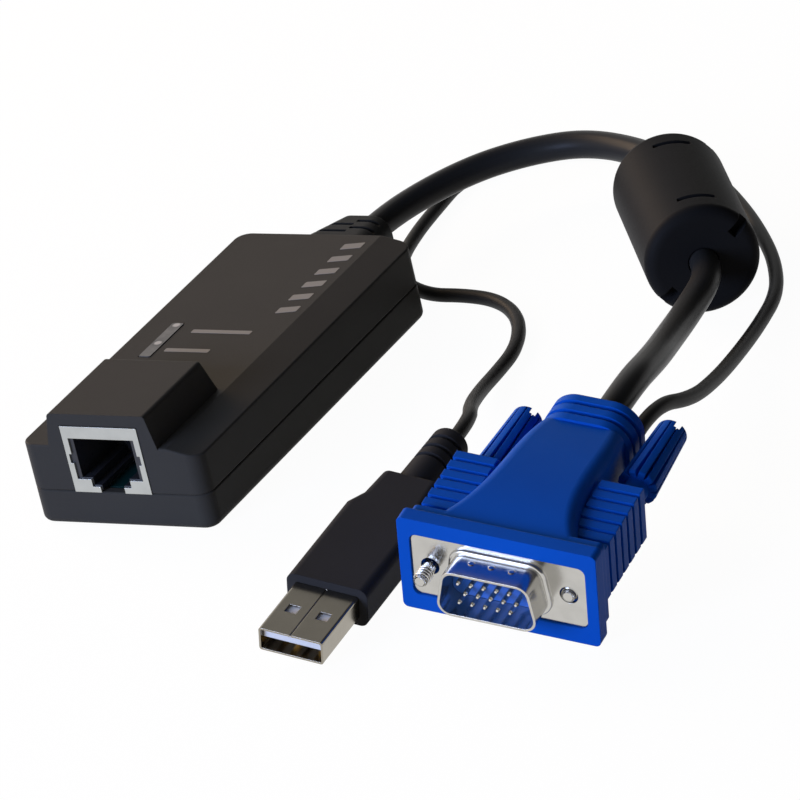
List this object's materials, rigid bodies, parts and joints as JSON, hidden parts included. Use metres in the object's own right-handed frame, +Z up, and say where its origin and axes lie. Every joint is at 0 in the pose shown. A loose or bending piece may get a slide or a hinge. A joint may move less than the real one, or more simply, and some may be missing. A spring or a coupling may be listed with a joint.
{
  "type": "kvm extender transmitter",
  "caption": "Flat black dongle with a raised network socket at one end, and at the other a ferrite cable to a blue video plug with a thin branch cord to a USB plug.",
  "frame": {"origin": "on the table, under the middle of the housing", "axes": "+Z up, -Y the way the network socket faces, +Y towards the cable, +X to the right seen from the socket"},
  "size_m": [0.1334, 0.1967, 0.0257],
  "materials": {
    "housing": "fine spark-eroded matt",
    "window": "milky clear",
    "lamp": "clear",
    "board": "solder mask",
    "chip": "moulded epoxy",
    "tin": "bright tin plate",
    "black_insert": "satin",
    "white_insert": "satin",
    "gold": "gold flash",
    "zinc": "nickel plated",
    "boot": "satin PVC",
    "cord": "satin PVC",
    "ferrite_cover": "satin",
    "ferrite": "sintered",
    "blue": "satin moulded PVC",
    "blue_insert": "satin",
    "nickel": "nickel plated",
    "pin": "plated",
    "black_mould": "satin moulded PVC"
  },
  "bodies": {
    "dongle": {"bottom_shell": "housing", "top_cover": "housing", "light_pipe": "window", "status_leds": "lamp", "circuit_board": "board", "video_chip": "chip", "control_chip": "chip", "jack_shield": "tin", "jack_insert": "black_insert", "usb_tongue": "white_insert", "jack_contacts": "gold", "usb_contacts": "gold", "case_screws": "zinc", "cable_boot": "boot", "video_cable": "cord", "usb_cord": "cord", "ferrite_case": "ferrite_cover", "ferrite_core": "ferrite", "vga_hood": "blue", "vga_insulator": "blue_insert", "vga_shell": "nickel", "usb_shell": "nickel", "vga_pins": "pin", "usb_overmould": "black_mould"},
    "left_thumb_screw": {"left_screw_grip": "blue", "left_screw_rod": "zinc"},
    "right_thumb_screw": {"right_screw_grip": "blue", "right_screw_rod": "zinc"}
  },
  "joints": [
    {"name": "left_screw_turn", "type": "hinge", "parent": "dongle", "child": "left_thumb_screw", "pos_m": [0.08339, -0.07657, 0.01538], "axis": [-0.0291, 0.9921, 0.1218], "continuous": true},
    {"name": "right_screw_turn", "type": "hinge", "parent": "dongle", "child": "right_thumb_screw", "pos_m": [0.10781, -0.07523, 0.01022], "axis": [-0.0291, 0.9921, 0.1218], "continuous": true}
  ]
}
